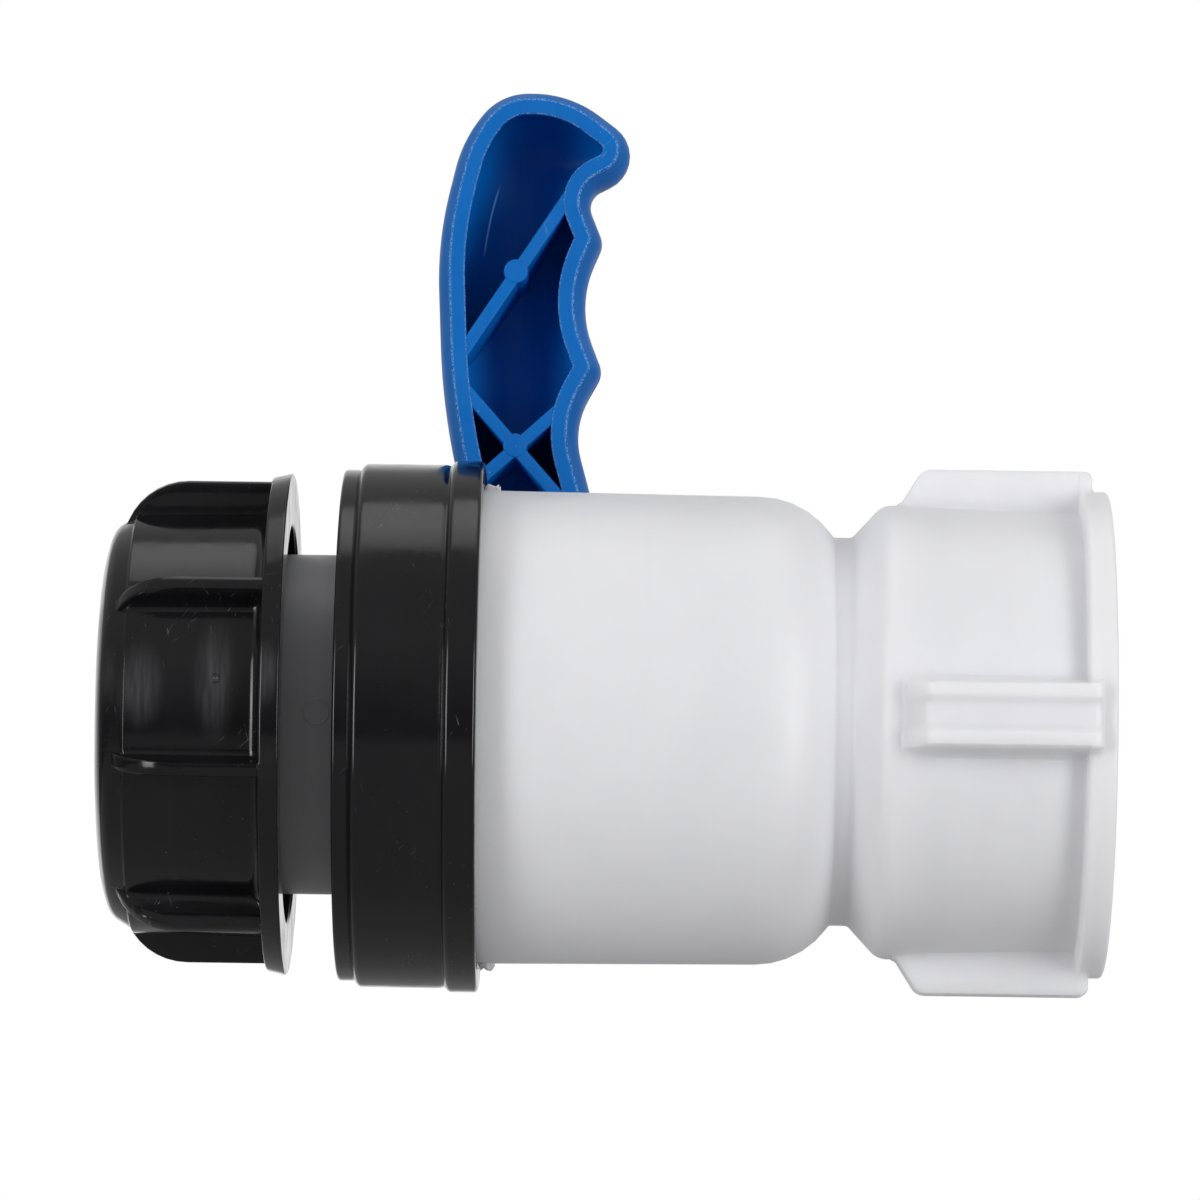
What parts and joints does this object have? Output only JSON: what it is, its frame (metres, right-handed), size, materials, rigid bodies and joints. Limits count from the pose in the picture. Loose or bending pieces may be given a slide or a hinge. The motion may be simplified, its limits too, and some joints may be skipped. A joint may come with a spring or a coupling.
{
  "type": "quarter-turn ball valve",
  "caption": "Quarter-turn plastic ball valve for a bulk liquid tank, with a grip lever, a threaded tank socket and a screw cap on its outlet.",
  "frame": {"origin": "centre of the mouth of the tank socket", "axes": "+X along the flow axis out of the socket mouth, towards the tank, so the outlet is at -X; +Y along the stem to the lever's side; +Z the way the lever points when the valve is shut"},
  "size_m": [0.1528, 0.1028, 0.1469],
  "materials": {
    "body_white": "moulded white polyethylene, faintly matte",
    "outlet_grey": "moulded dark grey polyethylene, satin",
    "collar_black": "glossy black polypropylene",
    "cap_black": "glossy black polypropylene, scuffed",
    "handle_blue": "moulded blue polypropylene, satin gloss",
    "ball_white": "smooth white polyethylene",
    "seat_white": "turned white fluoropolymer",
    "stem_black": "glass-filled black plastic",
    "seal_black": "black rubber",
    "gasket_black": "black rubber sheet",
    "steel": "stainless steel",
    "plug_black": "moulded black plastic"
  },
  "bodies": {
    "valve": {"valve_body": "body_white", "tank_gasket": "gasket_black", "tank_seat_ring": "seat_white", "tank_seat_o_ring": "seal_black", "outlet_seat_ring": "seat_white", "outlet_seat_o_ring": "seal_black", "outlet_adapter": "outlet_grey", "adapter_o_ring": "seal_black", "locking_collar": "collar_black", "stem_thrust_washer": "seat_white"},
    "lever": {"handle": "handle_blue", "handle_washer": "steel", "handle_screw": "steel", "handle_plug": "plug_black", "stem": "stem_black", "stem_lower_o_ring": "seal_black", "stem_upper_o_ring": "seal_black", "ball": "ball_white"},
    "cap_seal": {"cap_gasket": "gasket_black"},
    "cap": {"dust_cap": "cap_black"}
  },
  "joints": [
    {"name": "handle_turn", "type": "hinge", "parent": "valve", "child": "lever", "pos_m": [-0.07199, 0, 0], "axis": [0, -1, 0], "range_deg": [0, 90]},
    {"name": "cap_travel", "type": "slide", "parent": "valve", "child": "cap_seal", "axis": [-1, 0, 0], "range_m": [0, 0.0241]},
    {"name": "cap_turn", "type": "hinge", "parent": "cap_seal", "child": "cap", "pos_m": [-0.1472, 0, 0], "axis": [-1, 0, 0], "range_deg": [0, 1440]}
  ],
  "couplings": [
    {"joint": "cap_travel", "follows": "cap_turn", "m_per_rad": 0.00095493}
  ]
}
